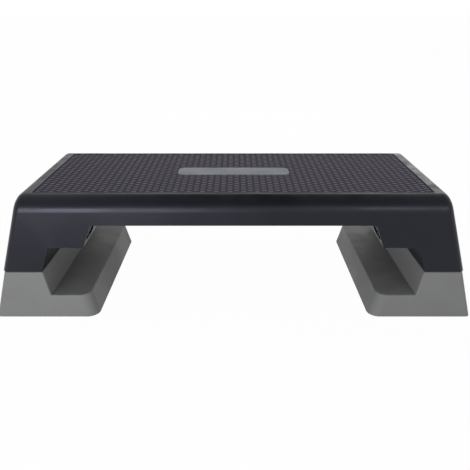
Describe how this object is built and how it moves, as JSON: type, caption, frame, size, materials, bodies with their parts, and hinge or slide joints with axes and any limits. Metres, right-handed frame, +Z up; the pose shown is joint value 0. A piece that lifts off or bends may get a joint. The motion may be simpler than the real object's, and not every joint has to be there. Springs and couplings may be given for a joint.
{
  "type": "aerobic step platform",
  "caption": "Aerobic step platform: a hollow moulded deck with an anti-slip rubber mat, standing on reversible stepped risers that set its height.",
  "frame": {"origin": "on the floor, under the middle of the deck", "axes": "+X along the length towards the right-hand riser, +Y to the rear, +Z up"},
  "size_m": [0.9488, 0.36, 0.25],
  "materials": {
    "deck_plastic": "satin moulded",
    "mat_rubber": "raised anti-slip pattern",
    "plaque_plate": "satin, bare",
    "riser_plastic": "fine moulded grain",
    "foot_rubber": "matt"
  },
  "bodies": {
    "left_riser": {"left_riser": "riser_plastic", "left_riser_foot_front_inner": "foot_rubber", "left_riser_foot_rear_inner": "foot_rubber", "left_riser_foot_middle_inner": "foot_rubber", "left_riser_foot_front_outer": "foot_rubber", "left_riser_foot_rear_outer": "foot_rubber", "left_riser_foot_middle_outer": "foot_rubber"},
    "deck": {"deck_shell": "deck_plastic", "top_mat": "mat_rubber", "plaque": "plaque_plate", "deck_foot_front_right": "foot_rubber", "deck_foot_rear_right": "foot_rubber", "deck_foot_front_left": "foot_rubber", "deck_foot_rear_left": "foot_rubber"},
    "right_riser": {"right_riser": "riser_plastic", "right_riser_foot_front_inner": "foot_rubber", "right_riser_foot_rear_inner": "foot_rubber", "right_riser_foot_middle_inner": "foot_rubber", "right_riser_foot_front_outer": "foot_rubber", "right_riser_foot_rear_outer": "foot_rubber", "right_riser_foot_middle_outer": "foot_rubber"}
  },
  "joints": [
    {"name": "deck_lift", "type": "slide", "parent": "left_riser", "child": "deck", "axis": [0, 0, 1], "range_m": [0, 0.12]},
    {"name": "right_riser_release", "type": "slide", "parent": "deck", "child": "right_riser", "axis": [0, 0, -1], "range_m": [0, 0.12]}
  ],
  "couplings": [
    {"joint": "right_riser_release", "follows": "deck_lift", "ratio": 1}
  ]
}
